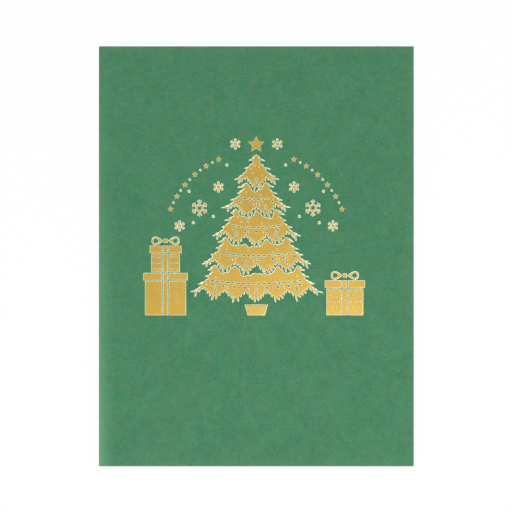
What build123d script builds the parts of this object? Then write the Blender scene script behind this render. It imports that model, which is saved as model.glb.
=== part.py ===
from build123d import *
import os
from math import ceil, cos, hypot, pi, radians, sin, sqrt

# Christmas pop up card, lying closed on its back leaf, in millimetres.
# X runs from the fold to the opening edge, Y runs up the front cover and Z is up.
# The origin is under the middle of the card, on the surface that it lies on.

# Card
card_width = 150.0
card_height = 200.0
cover_stock = 0.4
liner_stock = 0.3
liner_margin = 1.0

# Paper fir that lies flat between the leaves and stands up when they open
slice_stock = 0.3
layer_gap = 0.04
slice_spacing = 18.0
outer_slices = 1
fir_height = 108.0
fir_tiers = 4
stand_height = 9.0
lowest_branch = 46.0
highest_branch = 14.0
branch_overhang = 4.0
branch_droop = 3.0
slit_width = 1.2
slit_end_clearance = 0.25
slit_rim = 1.5
step_width = 1.0
tab_length = 7.0
tab_width = 4.5

# Gold foil on the front cover
foil_stock = 0.05
foil_line = 0.5
design_base_y = -28.0

# Foil tree
skirts = 5
skirt_pitch = 13.4
top_skirt_height = 11.5
top_skirt_half = 9.0
low_skirt_half = 29.5
skirt_sag = 3.0
lobe_depth = 3.6
needle_length = 2.3
needle_pitch = 1.2
needle_lean = 0.35
notch_needle_share = 0.7
top_needle_share = 0.35
side_needle_fall = 28.0
side_curve = 1.6
bead_pitch = 2.6
bead_radius = 0.5
garland_width = 0.45
bauble_radius = 0.5
pot_height = 5.0
pot_half = 5.5
pot_foot_half = 4.0

# Foil star, star strings and snowflakes
star_radius = 4.2
star_waist = 1.8
string_radius = 44.0
string_centre_y = 6.0
string_start = 22.0
string_end = 66.0
string_stars = 6
string_star_radius = 1.5
string_star_waist = 0.65
string_dot_radius = 0.5
flake_arms = 6
small_flake_radius = 2.5
small_flake_neck = 0.3
small_flake_bulb = 0.55
small_flake_waist = 0.75
small_flake_neck_share = 0.5
small_flake_bulb_share = 0.78
small_flake_places = ((10.0, 53.5), (18.0, 33.0), (36.5, 14.5))
large_flake_radius = 3.9
large_flake_core = 1.9
large_flake_hole = 1.1
large_flake_stem = 0.26
large_flake_barb = 1.1
large_flake_places = ((27.0, 23.0),)
snow_dot_radius = 0.6
snow_dot_places = ((14.0, 43.5), (20.5, 19.0), (30.0, 16.0), (32.0, 31.0))

# Foil gifts, each with its width and its height up to the top of its lid
stack_low_width = 21.0
stack_low_height = 20.0
stack_top_width = 15.0
stack_top_height = 12.5
right_gift_width = 19.0
right_gift_height = 16.5
gift_clearance = 0.9
ribbon_width = 2.2
lid_height = 3.4
lid_overhang = 0.8
bow_reach = 5.2
bow_height = 1.9
bow_fullness = 1.3
knot_half = 0.9
bow_wall = 0.8

closed_gap_layers = 2 * (2 * outer_slices + 1)
closed_gap = closed_gap_layers * slice_stock + (closed_gap_layers - 1) * layer_gap
closed_thickness = closed_gap + 2 * (cover_stock + liner_stock)
middle_z = closed_thickness / 2
leaf_start_x = -card_width / 2 + closed_thickness / 2
top_layer_z = closed_thickness - cover_stock - liner_stock
layer_pitch = slice_stock + layer_gap
fir_base_x = leaf_start_x + sqrt(2) * outer_slices * slice_spacing
lines = range(-outer_slices, outer_slices + 1)


def wrapped_region(depth, edge_x):
    """Section of all that lies inside a face wrapped round the fold, this deep under the skin."""
    radius = closed_thickness / 2 - depth
    leaf = Rectangle(edge_x - leaf_start_x, 2 * radius, align=(Align.MIN, Align.CENTER))
    return Pos(leaf_start_x, middle_z) * (leaf + Circle(radius))


def folded_sheet(depth, stock, edge_x, height):
    """One sheet folded once, with both leaves flat and its outer face at this depth."""
    section = wrapped_region(depth, edge_x) - wrapped_region(depth + stock, edge_x)
    return extrude(Plane.XZ * section, height / 2, both=True)


def make_cover():
    return folded_sheet(0, cover_stock, card_width / 2, card_height)


def make_liner():
    edge_x = card_width / 2 - liner_margin
    return folded_sheet(cover_stock, liner_stock, edge_x, card_height - 2 * liner_margin)


def tip_radius(tier):
    """Reach of a tier's branch tips from the trunk line."""
    return lowest_branch + (highest_branch - lowest_branch) * tier / (fir_tiers - 1)


def root_radius(tier):
    """Radius at the top of a tier, tucked under the tier above."""
    if tier == fir_tiers - 1:
        return 0
    return tip_radius(tier + 1) - branch_overhang


def tip_height(tier):
    return stand_height + (fir_height - stand_height) * tier / fir_tiers


def top_height(tier):
    """Height at which a tier's slope ends."""
    if tier == fir_tiers - 1:
        return fir_height
    return tip_height(tier + 1) + branch_droop


def height_on_slope(tier, radius):
    """Height at which a tier's slope has this radius, kept within the slope."""
    share = (tip_radius(tier) - radius) / (tip_radius(tier) - root_radius(tier))
    share = min(max(share, 0), 1)
    return tip_height(tier) + share * (top_height(tier) - tip_height(tier))


def end_tier(radius):
    """First tier whose slope comes in past this radius, or none where the fir is thinner."""
    if tip_radius(0) < radius + slit_rim:
        return None
    for tier in range(fir_tiers):
        if root_radius(tier) < radius + slit_rim:
            return tier


def crossing_height(line, other):
    """Height of the line along which two slices cross."""
    radius = hypot(line, other) * slice_spacing
    tier = end_tier(radius)
    if tier is None:
        return stand_height
    return height_on_slope(tier, radius)


def inside_slits(half_width, line, tier, is_root):
    """Half width drawn in, where a slit below would otherwise cut the branch tip off."""
    for other in lines:
        end = end_tier(hypot(line, other) * slice_spacing)
        passed = end is None or end < tier or (is_root and end == tier)
        if other > 0 and passed:
            reach = other * slice_spacing - slit_width / 2 - slit_rim
            half_width = min(half_width, reach)
    return half_width


def slice_half_outline(line):
    """Height and half width of each corner of one slice, from its foot to its top."""
    offset = abs(line) * slice_spacing
    foot_half = outer_slices * slice_spacing + slit_width / 2 + 2 * slit_rim + tab_width
    corners = [(0, foot_half), (stand_height + branch_droop, foot_half)]
    for tier in range(fir_tiers):
        tip = sqrt(max(tip_radius(tier) ** 2 - offset**2, 0))
        tip = inside_slits(tip, line, tier, False)
        if tier == 0:
            tip = max(tip, foot_half + branch_overhang)
        corners.append((tip_height(tier), tip))
        if root_radius(tier) < offset + slit_rim:
            corners.append((height_on_slope(tier, offset), 0))
            break
        root = sqrt(root_radius(tier) ** 2 - offset**2)
        corners.append((top_height(tier), inside_slits(root, line, tier, True)))
    return corners


def slice_outline(line):
    """Flat outline of a slice, with its foot at the fir's base and its top towards +X."""
    half = slice_half_outline(line)
    centre_y = line * slice_spacing
    right = [(fir_base_x + height, centre_y + width) for height, width in half]
    left = [(fir_base_x + height, centre_y - width) for height, width in reversed(half[:-1])]
    return make_face(Polyline(*right, *left, close=True))


def slit(line, other, from_foot):
    """Half lap slit on the line where two slices cross, open at the foot or at the top."""
    y = (line + other) * slice_spacing
    middle = crossing_height(line, other) / 2
    if from_foot:
        start = -tab_length
        end = middle + slit_end_clearance
    else:
        start = middle - slit_end_clearance
        end = fir_height + slit_rim
    strip = Rectangle(end - start, slit_width, align=(Align.MIN, Align.CENTER))
    return Pos(fir_base_x + start, y) * strip


def tab(side):
    """Tab below the foot, glued to the liner beside the fir's middle line."""
    y = side * (slit_width / 2 + slit_rim + tab_width / 2)
    reach = tab_length + slit_rim
    strip = Rectangle(reach, tab_width, align=(Align.MIN, Align.CENTER))
    return Pos(fir_base_x - tab_length, y) * strip


def layers_above(line, y, rising):
    """How many slices lie over this one at a height y on the card."""
    if rising:
        own = sum(1 for other in lines if other > line)
        crossed = sum(1 for other in lines if (line + other) * slice_spacing < y)
    else:
        own = sum(1 for other in lines if other < line)
        crossed = sum(1 for other in lines if (line + other) * slice_spacing > y)
    return own + crossed


def slice_band(line, rising):
    """Sheet that steps one layer up or down at each crossing, as wide as the fir."""
    reach = outer_slices * slice_spacing + lowest_branch + branch_overhang + slit_rim
    steps = [(line + other) * slice_spacing for other in lines]
    corners = [-reach, *(y + side * step_width / 2 for y in steps for side in (-1, 1)), reach]
    top = []
    for y in corners:
        nudge = -step_width if y - step_width in corners else 0
        layer = layers_above(line, y, rising)
        top.append((y, top_layer_z - layer * layer_pitch))
    bottom = [(y, z - slice_stock) for y, z in reversed(top)]
    section = make_face(Polyline(*top, *bottom, close=True))
    start = Plane.YZ.offset(fir_base_x - tab_length)
    return extrude(start * section, tab_length + fir_height)


def make_slice(line, rising):
    """One slice of the fir, slit, stepped through the pack and with its tabs."""
    outline = slice_outline(line)
    if line == outer_slices:
        outline += tab(-1)
    if line == -outer_slices:
        outline += tab(1)
    for other in lines:
        outline -= slit(line, other, from_foot=not rising)
    return extrude(outline, closed_thickness) & slice_band(line, rising)


def foil_field(outline, holes=()):
    """One field of foil on the front cover, with shapes left bare in it."""
    lift = Vector(0, 0, closed_thickness)
    outer = Wire.make_polygon([Vector(*point) + lift for point in outline])
    inner = [Wire.make_polygon([Vector(*point) + lift for point in hole]) for hole in holes]
    return Solid.extrude(Face(outer, inner), Vector(0, 0, foil_stock))


def ring(centre, radii, start=90.0):
    """Closed run of points at even angles about a centre, at the given radii in turn."""
    count = len(radii)
    turns = [radians(start + 360 * index / count) for index in range(count)]
    return [
        (centre[0] + radius * cos(turn), centre[1] + radius * sin(turn))
        for radius, turn in zip(radii, turns)
    ]


def skirt_half(skirt):
    return top_skirt_half + (low_skirt_half - top_skirt_half) * skirt / (skirts - 1)


def skirt_tip_y(skirt):
    """Height of the middle lobe's tip."""
    lowest = design_base_y + pot_height + foil_line + needle_length
    return lowest + (skirts - 1 - skirt) * skirt_pitch


def lobe_tip(skirt, index):
    """Tip of a lobe on the skirt's lower edge, which sags towards the middle."""
    half = skirt_half(skirt)
    x = half * (2 * index / (skirt + 2) - 1)
    return x, skirt_tip_y(skirt) + skirt_sag * (x / half) ** 2


def notch(skirt, index):
    """Notch between two lobes."""
    half = skirt_half(skirt)
    x = half * ((2 * index + 1) / (skirt + 2) - 1)
    return x, skirt_tip_y(skirt) + skirt_sag * (x / half) ** 2 + lobe_depth


def fringe(start, end, flow, first=1.0, last=1.0):
    """Needles in a row along an edge, from start up to but without end."""
    length = hypot(end[0] - start[0], end[1] - start[1])
    count = max(1, round(length / needle_pitch))
    points = []
    for index in range(count):
        for step in (0, 0.5):
            share = (index + step) / count
            reach = 2 * step * needle_length * (first + (last - first) * share)
            x = start[0] + (end[0] - start[0]) * share + flow[0] * reach
            y = start[1] + (end[1] - start[1]) * share + flow[1] * reach
            points.append((x, y))
    return points


def side_points(start, end, count=4):
    """Corners of a skirt's side, which leaves the trunk steeply and flares at the tip."""
    shares = [index / count for index in range(count + 1)]
    return [
        (start[0] + (end[0] - start[0]) * share**side_curve, start[1] + (end[1] - start[1]) * share)
        for share in shares
    ]


def skirt_top(skirt):
    """Upper edge of a skirt from left to right, under the needles of the skirt above."""
    if skirt == 0:
        return [(0, skirt_tip_y(0) + lobe_depth + top_skirt_height)]
    drop = needle_length + foil_line
    edge = []
    for index in range(skirt + 1):
        x, y = notch(skirt - 1, index)
        edge.append((x, y - drop))
        if index < skirt:
            x, y = lobe_tip(skirt - 1, index + 1)
            edge.append((x, y - drop))
    return edge


def mirrored(points):
    return [(-x, y) for x, y in reversed(points)]


def skirt_outline(skirt):
    """Fringed outline of one skirt, anticlockwise from the right end of its upper edge."""
    top = skirt_top(skirt)
    sides = side_points(top[0], lobe_tip(skirt, 0))
    fall = radians(side_needle_fall)
    flow = (-cos(fall), -sin(fall))
    left = []
    for index in range(len(sides) - 1):
        first = top_needle_share if index == 0 else 1.0
        left += fringe(sides[index], sides[index + 1], flow, first, 1.0)
    left.append(sides[-1])
    lower = []
    short = notch_needle_share
    for index in range(skirt + 2):
        lean = needle_lean * lobe_tip(skirt, index)[0] / skirt_half(skirt)
        flow = (lean, -sqrt(1 - lean**2))
        lower += fringe(lobe_tip(skirt, index), notch(skirt, index), flow, 1.0, short)
        lower += fringe(notch(skirt, index), lobe_tip(skirt, index + 1), flow, short, 1.0)
    right = mirrored(left)
    return left[1:] + lower[1:] + right[:-1] + list(reversed(top))


def garland_y(skirt, x):
    """Middle line of a garland, halfway between a skirt's upper edge and its notches."""
    free = skirt_pitch - needle_length - foil_line - lobe_depth
    sag = skirt_sag * (x / skirt_half(skirt)) ** 2
    return skirt_tip_y(skirt) + sag + lobe_depth + free / 2


def garland_hole(skirt):
    """Thin beaded line left bare across a skirt."""
    reach = notch(skirt - 1, skirt)[0]
    beads = 2 * ceil(reach / bead_pitch)
    pitch = 2 * reach / beads
    upper = []
    for index in range(beads):
        x = -reach + index * pitch
        for step, half in ((0, garland_width / 2), (0.3, garland_width / 2), (0.5, bead_radius)):
            at = x + step * pitch
            upper.append((at, garland_y(skirt, at), half))
        at = x + 0.7 * pitch
        upper.append((at, garland_y(skirt, at), garland_width / 2))
    upper.append((reach, garland_y(skirt, reach), garland_width / 2))
    top = [(x, y + half) for x, y, half in reversed(upper)]
    return [(x, y - half) for x, y, half in upper] + top


def bauble_holes(skirt):
    """Round baubles left bare, one in each lobe between the ends."""
    centres = [lobe_tip(skirt, index) for index in range(1, skirt + 2)]
    return [ring((x, y + lobe_depth), [bauble_radius] * 8) for x, y in centres]


def make_foil_tree():
    """Five fringed skirts with garlands, over a small pot."""
    fields = []
    for skirt in range(skirts):
        holes = bauble_holes(skirt)
        if skirt > 0:
            holes.append(garland_hole(skirt))
        fields.append(foil_field(skirt_outline(skirt), holes))
    pot_top = design_base_y + pot_height
    pot = [
        (-pot_foot_half, design_base_y),
        (pot_foot_half, design_base_y),
        (pot_half, pot_top),
        (-pot_half, pot_top),
    ]
    fields.append(foil_field(pot))
    return Compound(children=fields)


def star_outline(centre, radius, waist):
    return ring(centre, [radius, waist] * 5)


def make_foil_star():
    """Star over the tree's top."""
    top_y = skirt_top(0)[0][1]
    centre = (0, top_y + foil_line + star_radius)
    return foil_field(star_outline(centre, star_radius, star_waist))


def make_foil_star_strings():
    """Two strings of small stars and dots, one either side of the tree."""
    fields = []
    for side in (-1, 1):
        steps = 2 * string_stars - 1
        for index in range(steps):
            turn = radians(string_start + (string_end - string_start) * index / (steps - 1))
            centre = (
                side * string_radius * cos(turn),
                string_centre_y + string_radius * sin(turn),
            )
            if index % 2:
                outline = ring(centre, [string_dot_radius] * 6)
            else:
                outline = star_outline(centre, string_star_radius, string_star_waist)
            fields.append(foil_field(outline))
    return Compound(children=fields)


def gift_top(base_y, height):
    """Height of the middle of a gift's bow."""
    return base_y + height + foil_line + bow_height


def make_gift(centre_x, base_y, width, height):
    """Wrapped box with a lid and with a ribbon down its front."""
    fields = []
    lid_y = base_y + height - lid_height
    inner = ribbon_width / 2 + foil_line
    rows = (
        (base_y, lid_y - foil_line, width / 2 - lid_overhang),
        (lid_y, base_y + height, width / 2),
    )
    for low, high, half in rows:
        for left, right in ((-half, -inner), (-ribbon_width / 2, ribbon_width / 2), (inner, half)):
            corners = [(left, low), (right, low), (right, high), (left, high)]
            fields.append(foil_field([(centre_x + x, y) for x, y in corners]))
    return fields


def bow_loop(root_x, middle_y, reach, height, count=12):
    """Teardrop loop of ribbon, pointed at its root."""
    turns = [2 * pi * index / count for index in range(count)]
    return [
        (root_x + reach * (1 - cos(turn)) / 2, middle_y + height * sin(turn) * sin(turn / 2))
        for turn in turns
    ]


def make_bow(centre_x, middle_y):
    """Square knot with a loop on each side."""
    corners = [knot_half * sqrt(2)] * 4
    fields = [foil_field(ring((centre_x, middle_y), corners, start=45))]
    for side in (-1, 1):
        root_x = centre_x + side * (knot_half + foil_line)
        outer = bow_loop(root_x, middle_y, side * bow_reach, bow_height * bow_fullness)
        hole_reach = side * (bow_reach - 3 * bow_wall)
        hole_height = bow_height * bow_fullness - bow_wall
        hole = bow_loop(root_x + side * 2 * bow_wall, middle_y, hole_reach, hole_height)
        fields.append(foil_field(outer, [hole]))
    return fields


def make_foil_gifts():
    """A stack of two gifts left of the tree and one gift on its right."""
    edge_x = low_skirt_half + needle_length + gift_clearance
    stack_x = -edge_x - stack_low_width / 2
    right_x = edge_x + right_gift_width / 2
    stack_top_y = design_base_y + stack_low_height + foil_line
    fields = make_gift(stack_x, design_base_y, stack_low_width, stack_low_height)
    fields += make_gift(stack_x, stack_top_y, stack_top_width, stack_top_height)
    fields += make_gift(right_x, design_base_y, right_gift_width, right_gift_height)
    fields += make_bow(stack_x, gift_top(stack_top_y, stack_top_height))
    fields += make_bow(right_x, gift_top(design_base_y, right_gift_height))
    return Compound(children=fields)


def flake_outline(centre, arm):
    """Snowflake whose arms repeat one list of points, as (reach, sideways) pairs."""
    points = []
    for index in range(flake_arms):
        turn = radians(90 + 360 * index / flake_arms)
        along = (cos(turn), sin(turn))
        for reach, aside in arm:
            x = centre[0] + reach * along[0] - aside * along[1]
            y = centre[1] + reach * along[1] + aside * along[0]
            points.append((x, y))
    return points


def small_flake_arm():
    """Arm with a neck, a bulb and a point, from one waist to the next."""
    valley = pi / flake_arms
    waist = (small_flake_waist * cos(valley), small_flake_waist * sin(valley))
    neck = small_flake_radius * small_flake_neck_share
    bulb = small_flake_radius * small_flake_bulb_share
    right = [(neck, -small_flake_neck), (bulb, -small_flake_bulb)]
    left = [(reach, -aside) for reach, aside in reversed(right)]
    return [*right, (small_flake_radius, 0), *left, waist]


def large_flake_arm():
    """Arm with a stem and one pair of barbs, standing on a six sided core."""
    valley = pi / flake_arms
    waist = (large_flake_core * cos(valley), large_flake_core * sin(valley))
    root = sqrt(large_flake_core**2 - large_flake_stem**2) * cos(valley)
    fork = (large_flake_radius + large_flake_core) / 2
    right = [
        (root, -large_flake_stem),
        (fork - large_flake_stem, -large_flake_stem),
        (fork + large_flake_barb - 3 * large_flake_stem, -large_flake_barb),
        (fork + large_flake_barb - large_flake_stem, -large_flake_barb + large_flake_stem),
        (fork + large_flake_stem, -large_flake_stem),
    ]
    left = [(reach, -aside) for reach, aside in reversed(right)]
    return [*right, (large_flake_radius, 0), *left, waist]


def make_foil_snowflakes():
    """Snowflakes and dots, the same on both sides of the tree."""
    fields = []
    for side in (-1, 1):
        for x, y in small_flake_places:
            fields.append(foil_field(flake_outline((side * x, y), small_flake_arm())))
        for x, y in large_flake_places:
            hole = ring((side * x, y), [large_flake_hole] * flake_arms)
            outline = flake_outline((side * x, y), large_flake_arm())
            fields.append(foil_field(outline, [hole]))
        for x, y in snow_dot_places:
            fields.append(foil_field(ring((side * x, y), [snow_dot_radius] * 8)))
    return Compound(children=fields)


def build():
    """Every node of the card by name."""
    nodes = {"cover": make_cover(), "inner_card": make_liner()}
    for number, line in enumerate(lines, 1):
        nodes[f"fir_slice_a{number}"] = make_slice(line, rising=True)
        nodes[f"fir_slice_b{number}"] = make_slice(line, rising=False)
    nodes["foil_tree"] = make_foil_tree()
    nodes["foil_star"] = make_foil_star()
    nodes["foil_star_strings"] = make_foil_star_strings()
    nodes["foil_snowflakes"] = make_foil_snowflakes()
    nodes["foil_gifts"] = make_foil_gifts()
    return nodes


os.makedirs("parts", exist_ok=True)
for name, shape in build().items():
    export_step(shape, f"parts/{name}.step")
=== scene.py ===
"""Looks of a closed Christmas pop up card: dyed card stock, stamped foil and a plain studio."""

import logging
from abc import ABC, abstractmethod
from dataclasses import dataclass, field
from enum import Enum
from math import ceil, cos, hypot, pi, radians, sin, sqrt
from random import Random

import bpy
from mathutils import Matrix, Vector


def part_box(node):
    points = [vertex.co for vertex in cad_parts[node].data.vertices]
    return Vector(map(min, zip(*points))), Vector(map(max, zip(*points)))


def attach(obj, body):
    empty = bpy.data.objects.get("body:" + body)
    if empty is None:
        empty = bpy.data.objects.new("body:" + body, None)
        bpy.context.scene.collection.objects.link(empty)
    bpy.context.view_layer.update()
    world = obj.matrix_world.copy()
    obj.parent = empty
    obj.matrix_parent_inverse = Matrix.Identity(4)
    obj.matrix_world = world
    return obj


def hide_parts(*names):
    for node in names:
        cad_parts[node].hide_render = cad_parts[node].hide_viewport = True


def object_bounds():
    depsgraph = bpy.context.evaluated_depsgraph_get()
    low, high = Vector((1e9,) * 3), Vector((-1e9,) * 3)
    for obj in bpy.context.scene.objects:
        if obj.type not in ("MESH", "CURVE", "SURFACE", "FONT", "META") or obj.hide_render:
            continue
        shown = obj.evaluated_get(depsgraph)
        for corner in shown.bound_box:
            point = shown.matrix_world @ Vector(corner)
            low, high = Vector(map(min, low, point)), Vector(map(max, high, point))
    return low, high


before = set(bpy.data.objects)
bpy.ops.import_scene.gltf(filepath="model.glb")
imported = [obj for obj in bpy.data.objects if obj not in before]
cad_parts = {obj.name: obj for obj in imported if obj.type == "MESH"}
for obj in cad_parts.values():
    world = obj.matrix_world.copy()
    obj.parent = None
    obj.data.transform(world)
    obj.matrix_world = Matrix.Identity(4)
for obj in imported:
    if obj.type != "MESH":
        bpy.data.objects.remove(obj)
CAD_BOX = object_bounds()

LOG = logging.getLogger("pop_up_card")
FOIL_NODES = "foil_"
FIR_NODES = "fir_slice_"
MM = 0.001
WHITE = "#ffffff"
STAR_POINTS = 5
SMALL_DISC_CORNERS = 8

# Numbers of a Mix node's colour sockets, whose names its other types of socket have too.
MIX_A, MIX_B, MIX_RESULT = 6, 7, 2

Point = tuple[float, float]
Outline = list[Point]
Edges = tuple[float, float, float, float]
Piece = bpy.types.Object
Material = bpy.types.Material
Tree = bpy.types.NodeTree
Socket = bpy.types.NodeSocket


class Side(Enum):
    """Left or right of the middle, as the sign of x."""

    LEFT = -1
    RIGHT = 1


class Wrap(Enum):
    """What is left bare in the foil of a gift's panels."""

    PLAIN = "plain"
    DOTS = "dots"
    STRIPES = "stripes"


def linear(hex_colour: str) -> tuple[float, float, float, float]:
    """Turn an sRGB hex colour to linear.

    Args:
        hex_colour: Colour such as "#4c8561".

    Returns:
        Linear red, green, blue and an alpha of one.
    """
    channels = []
    for start in (1, 3, 5):
        value = int(hex_colour[start:start + 2], 16) / 255
        channels.append(value / 12.92 if value <= 0.04045 else ((value + 0.055) / 1.055) ** 2.4)
    return (*channels, 1.0)


def per_mm(size_mm: float) -> float:
    """Scale of a pattern on coordinates in metres whose features are this many millimetres."""
    return 1 / (size_mm * MM)


def add_node(
    tree: Tree, kind: str, inputs: dict[str | int, object] | None = None, **settings: object
) -> bpy.types.Node:
    """Add one shader node with its settings, values and links.

    Args:
        tree: Node tree that gets the node.
        kind: Blender's name of the node type, without the word ShaderNode before it.
        inputs: Value or source socket of each input, by name or number.
        settings: Properties of the node by name.

    Returns:
        The new node.
    """
    node = tree.nodes.new(f"ShaderNode{kind}")
    for name, value in settings.items():
        setattr(node, name, value)
    for name, value in (inputs or {}).items():
        if isinstance(value, Socket):
            tree.links.new(value, node.inputs[name])
        else:
            node.inputs[name].default_value = value
    return node


def new_material(name: str) -> tuple[Material, Tree]:
    """Make an empty node material.

    Args:
        name: Name of the material.

    Returns:
        The material and its cleared node tree.
    """
    material = bpy.data.materials.new(name)
    material.use_nodes = True
    material.node_tree.nodes.clear()
    return material, material.node_tree


def dress(piece: Piece, finish: Material) -> None:
    """Give an object one finish in place of any that it has."""
    piece.data.materials.clear()
    piece.data.materials.append(finish)


@dataclass(frozen=True)
class Mottle:
    """Noise of one feature size in a sheet, with its weight in the sheet's tone."""

    size_mm: float
    weight: float
    detail: float = 2.0
    roughness: float = 0.6

    def laid(self, tree: Tree, place: Socket, under: float | Socket = 0.0) -> Socket:
        """Add the noise at its weight to the tone under it.

        Args:
            tree: Node tree of the material.
            place: Object coordinates.
            under: Tone that the noise is added to.

        Returns:
            Tone with the noise in it.
        """
        grain = {"Scale": per_mm(self.size_mm), "Detail": self.detail, "Roughness": self.roughness}
        noise = add_node(tree, "TexNoise", {"Vector": place, **grain})
        values = {0: noise.outputs["Fac"], 1: self.weight, 2: under}
        return add_node(tree, "Math", values, operation="MULTIPLY_ADD").outputs[0]


@dataclass(frozen=True, kw_only=True)
class Finish(ABC):
    """Finish of a sheet with a fine tooth."""

    name: str
    roughness: float
    tooth_strength: float
    tooth_depth_mm: float = 0.02

    @abstractmethod
    def surface(self, tree: Tree, place: Socket) -> tuple[Socket, dict[str, object]]:
        """Height of the tooth, and the values of the shader."""

    def build(self) -> Material:
        """Make the material.

        Returns:
            Node material on object coordinates.
        """
        material, tree = new_material(self.name)
        height, values = self.surface(tree, add_node(tree, "TexCoord").outputs["Object"])
        press = {"Distance": self.tooth_depth_mm * MM, "Strength": self.tooth_strength}
        values["Normal"] = add_node(tree, "Bump", {"Height": height, **press}).outputs["Normal"]
        shader = add_node(tree, "BsdfPrincipled", values)
        add_node(tree, "OutputMaterial", {"Surface": shader.outputs[0]})
        return material


@dataclass(frozen=True, kw_only=True)
class DyedCard(Finish):
    """Uncoated card dyed in the pulp and calendered.

    The eye sees a dead matte colour, cloudy where the pulp lies thicker, whose hue wanders
    where the dye took unevenly, with a fine tooth and a few paler fibres. Its edges are a
    little brighter from handling. Beside its fold a painted highlight stands in for the light
    that the rounded fold catches, stronger towards the bottom.
    """

    body: str
    shade: str
    fibre: str
    # Colour of the painted highlight beside the fold, which stands in for the light on the rounded
    # fold.
    fold_highlight: str = WHITE
    handled: str = WHITE
    # Pulp lies in flocs of a few millimetres, and these in clouds of about a centimetre.
    pulp: Mottle = Mottle(2.4, 0.45)
    cloud: Mottle = Mottle(11.0, 0.35, detail=3.0)
    # Real tooth is about 0.1 mm, so it is drawn coarser to show in the render.
    tooth: Mottle = Mottle(0.66, 1.3, roughness=0.7)
    tooth_strength: float = 0.6
    contrast: float = 0.34
    dye_mm: float = 4.6
    dye_share: float = 0.019
    # Real fibres are finer than 0.05 mm, so they too are drawn coarser.
    fibre_pitch_mm: float = 5.5
    fibre_mm: float = 0.26
    fibre_share: float = 0.6
    rub_mm: float = 8.0
    rub_share: float = 0.0
    # Painted highlight beside the fold: its width, and its share at the bottom, which fades to
    # none at the top.
    fold_highlight_mm: float = 11.0
    fold_highlight_share: float = 0.0
    wear_and_highlight_power: float = 2.5
    roughness: float = 0.9
    ior: float = 1.45
    specular: float = 0.25

    def surface(self, tree: Tree, place: Socket) -> tuple[Socket, dict[str, object]]:
        """Mottled, dyed and flecked sheet, brighter where it is worn.

        Args:
            tree: Node tree of the material.
            place: Object coordinates.

        Returns:
            Height of the tooth, and the values of the shader.
        """
        tone = 0.0
        for layer in (self.pulp, self.cloud, self.tooth):
            tone = layer.laid(tree, place, tone)
        colour = self.flecked(tree, place, self.dyed(tree, place, tone))
        if self.rub_share > 0:
            colour = self.worn_and_fold_highlit(tree, place, colour)
        gloss = {"Roughness": self.roughness, "IOR": self.ior, "Specular IOR Level": self.specular}
        return tone, {"Base Color": colour, **gloss}

    def dyed(self, tree: Tree, place: Socket, tone: Socket) -> Socket:
        """Colour of the mottled pulp, whose hue wanders with the dye.

        Args:
            tree: Node tree of the material.
            place: Object coordinates.
            tone: Sum of the sheet's mottles.

        Returns:
            Colour of the sheet between its fibres.
        """
        middle = (self.pulp.weight + self.cloud.weight + self.tooth.weight) / 2
        ends = {"From Min": middle - self.contrast, "From Max": middle + self.contrast}
        level = add_node(tree, "MapRange", {"Value": tone, **ends})
        colours = {MIX_A: linear(self.shade), MIX_B: linear(self.body)}
        ground = add_node(tree, "Mix", {"Factor": level.outputs[0], **colours}, data_type="RGBA")
        clouds = {"Vector": place, "Scale": per_mm(self.dye_mm), "Detail": 1.0}
        dye = add_node(tree, "TexNoise", clouds)
        colours = {MIX_A: ground.outputs[MIX_RESULT], MIX_B: dye.outputs["Color"]}
        values = {"Factor": self.dye_share, **colours}
        dyed = add_node(tree, "Mix", values, data_type="RGBA", blend_type="LINEAR_LIGHT")
        return dyed.outputs[MIX_RESULT]

    def flecked(self, tree: Tree, place: Socket, colour: Socket) -> Socket:
        """Strew a few paler fibres over the sheet.

        Args:
            tree: Node tree of the material.
            place: Object coordinates.
            colour: Colour of the sheet.

        Returns:
            Colour with the fibres.
        """
        strewn = {"Vector": place, "Scale": per_mm(self.fibre_pitch_mm), "Randomness": 1.0}
        strands = add_node(tree, "TexVoronoi", strewn, feature="F1")
        end = self.fibre_mm / self.fibre_pitch_mm
        ends = {"From Min": end, "From Max": end / 2, "To Max": self.fibre_share}
        speck = add_node(tree, "MapRange", {"Value": strands.outputs["Distance"], **ends})
        colours = {MIX_A: colour, MIX_B: linear(self.fibre)}
        mixed = add_node(tree, "Mix", {"Factor": speck.outputs[0], **colours}, data_type="RGBA")
        return mixed.outputs[MIX_RESULT]

    def worn_and_fold_highlit(self, tree: Tree, place: Socket, colour: Socket) -> Socket:
        """Brighten the colour along the sheet's edges, where hands rub it, and beside its fold.

        Args:
            tree: Node tree of the material.
            place: Object coordinates.
            colour: Colour away from the edges.

        Returns:
            Colour with the edges rubbed and a painted highlight beside the fold.
        """
        low, high = CAD_BOX
        axes = add_node(tree, "SeparateXYZ", {0: place})
        distances = []
        for number, axis in enumerate("XY"):
            for sign, edge in ((1.0, -low[number]), (-1.0, high[number])):
                values = {0: axes.outputs[axis], 1: sign, 2: edge}
                distance = add_node(tree, "Math", values, operation="MULTIPLY_ADD")
                distances.append(distance.outputs[0])
        from_fold, nearest = distances[0], distances[0]
        for distance in distances[1:]:
            values = {0: nearest, 1: distance}
            nearest = add_node(tree, "Math", values, operation="MINIMUM").outputs[0]
        # The fold's painted highlight is strongest at the bottom and fades to none at the top.
        ends = {"From Min": low[1], "From Max": high[1], "To Min": self.fold_highlight_share, "To Max": 0.0}
        height = add_node(tree, "MapRange", {"Value": axes.outputs["Y"], **ends})
        fold_highlight_share = self.fade(tree, from_fold, self.fold_highlight_mm, height.outputs[0])
        edge_share = self.fade(tree, nearest, self.rub_mm, self.rub_share)
        # Mix in the painted fold highlight, then the wear along the edges.
        for share, tone in ((fold_highlight_share, self.fold_highlight), (edge_share, self.handled)):
            colours = {MIX_A: colour, MIX_B: linear(tone)}
            mixed = add_node(tree, "Mix", {"Factor": share, **colours}, data_type="RGBA")
            colour = mixed.outputs[MIX_RESULT]
        return colour

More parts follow.
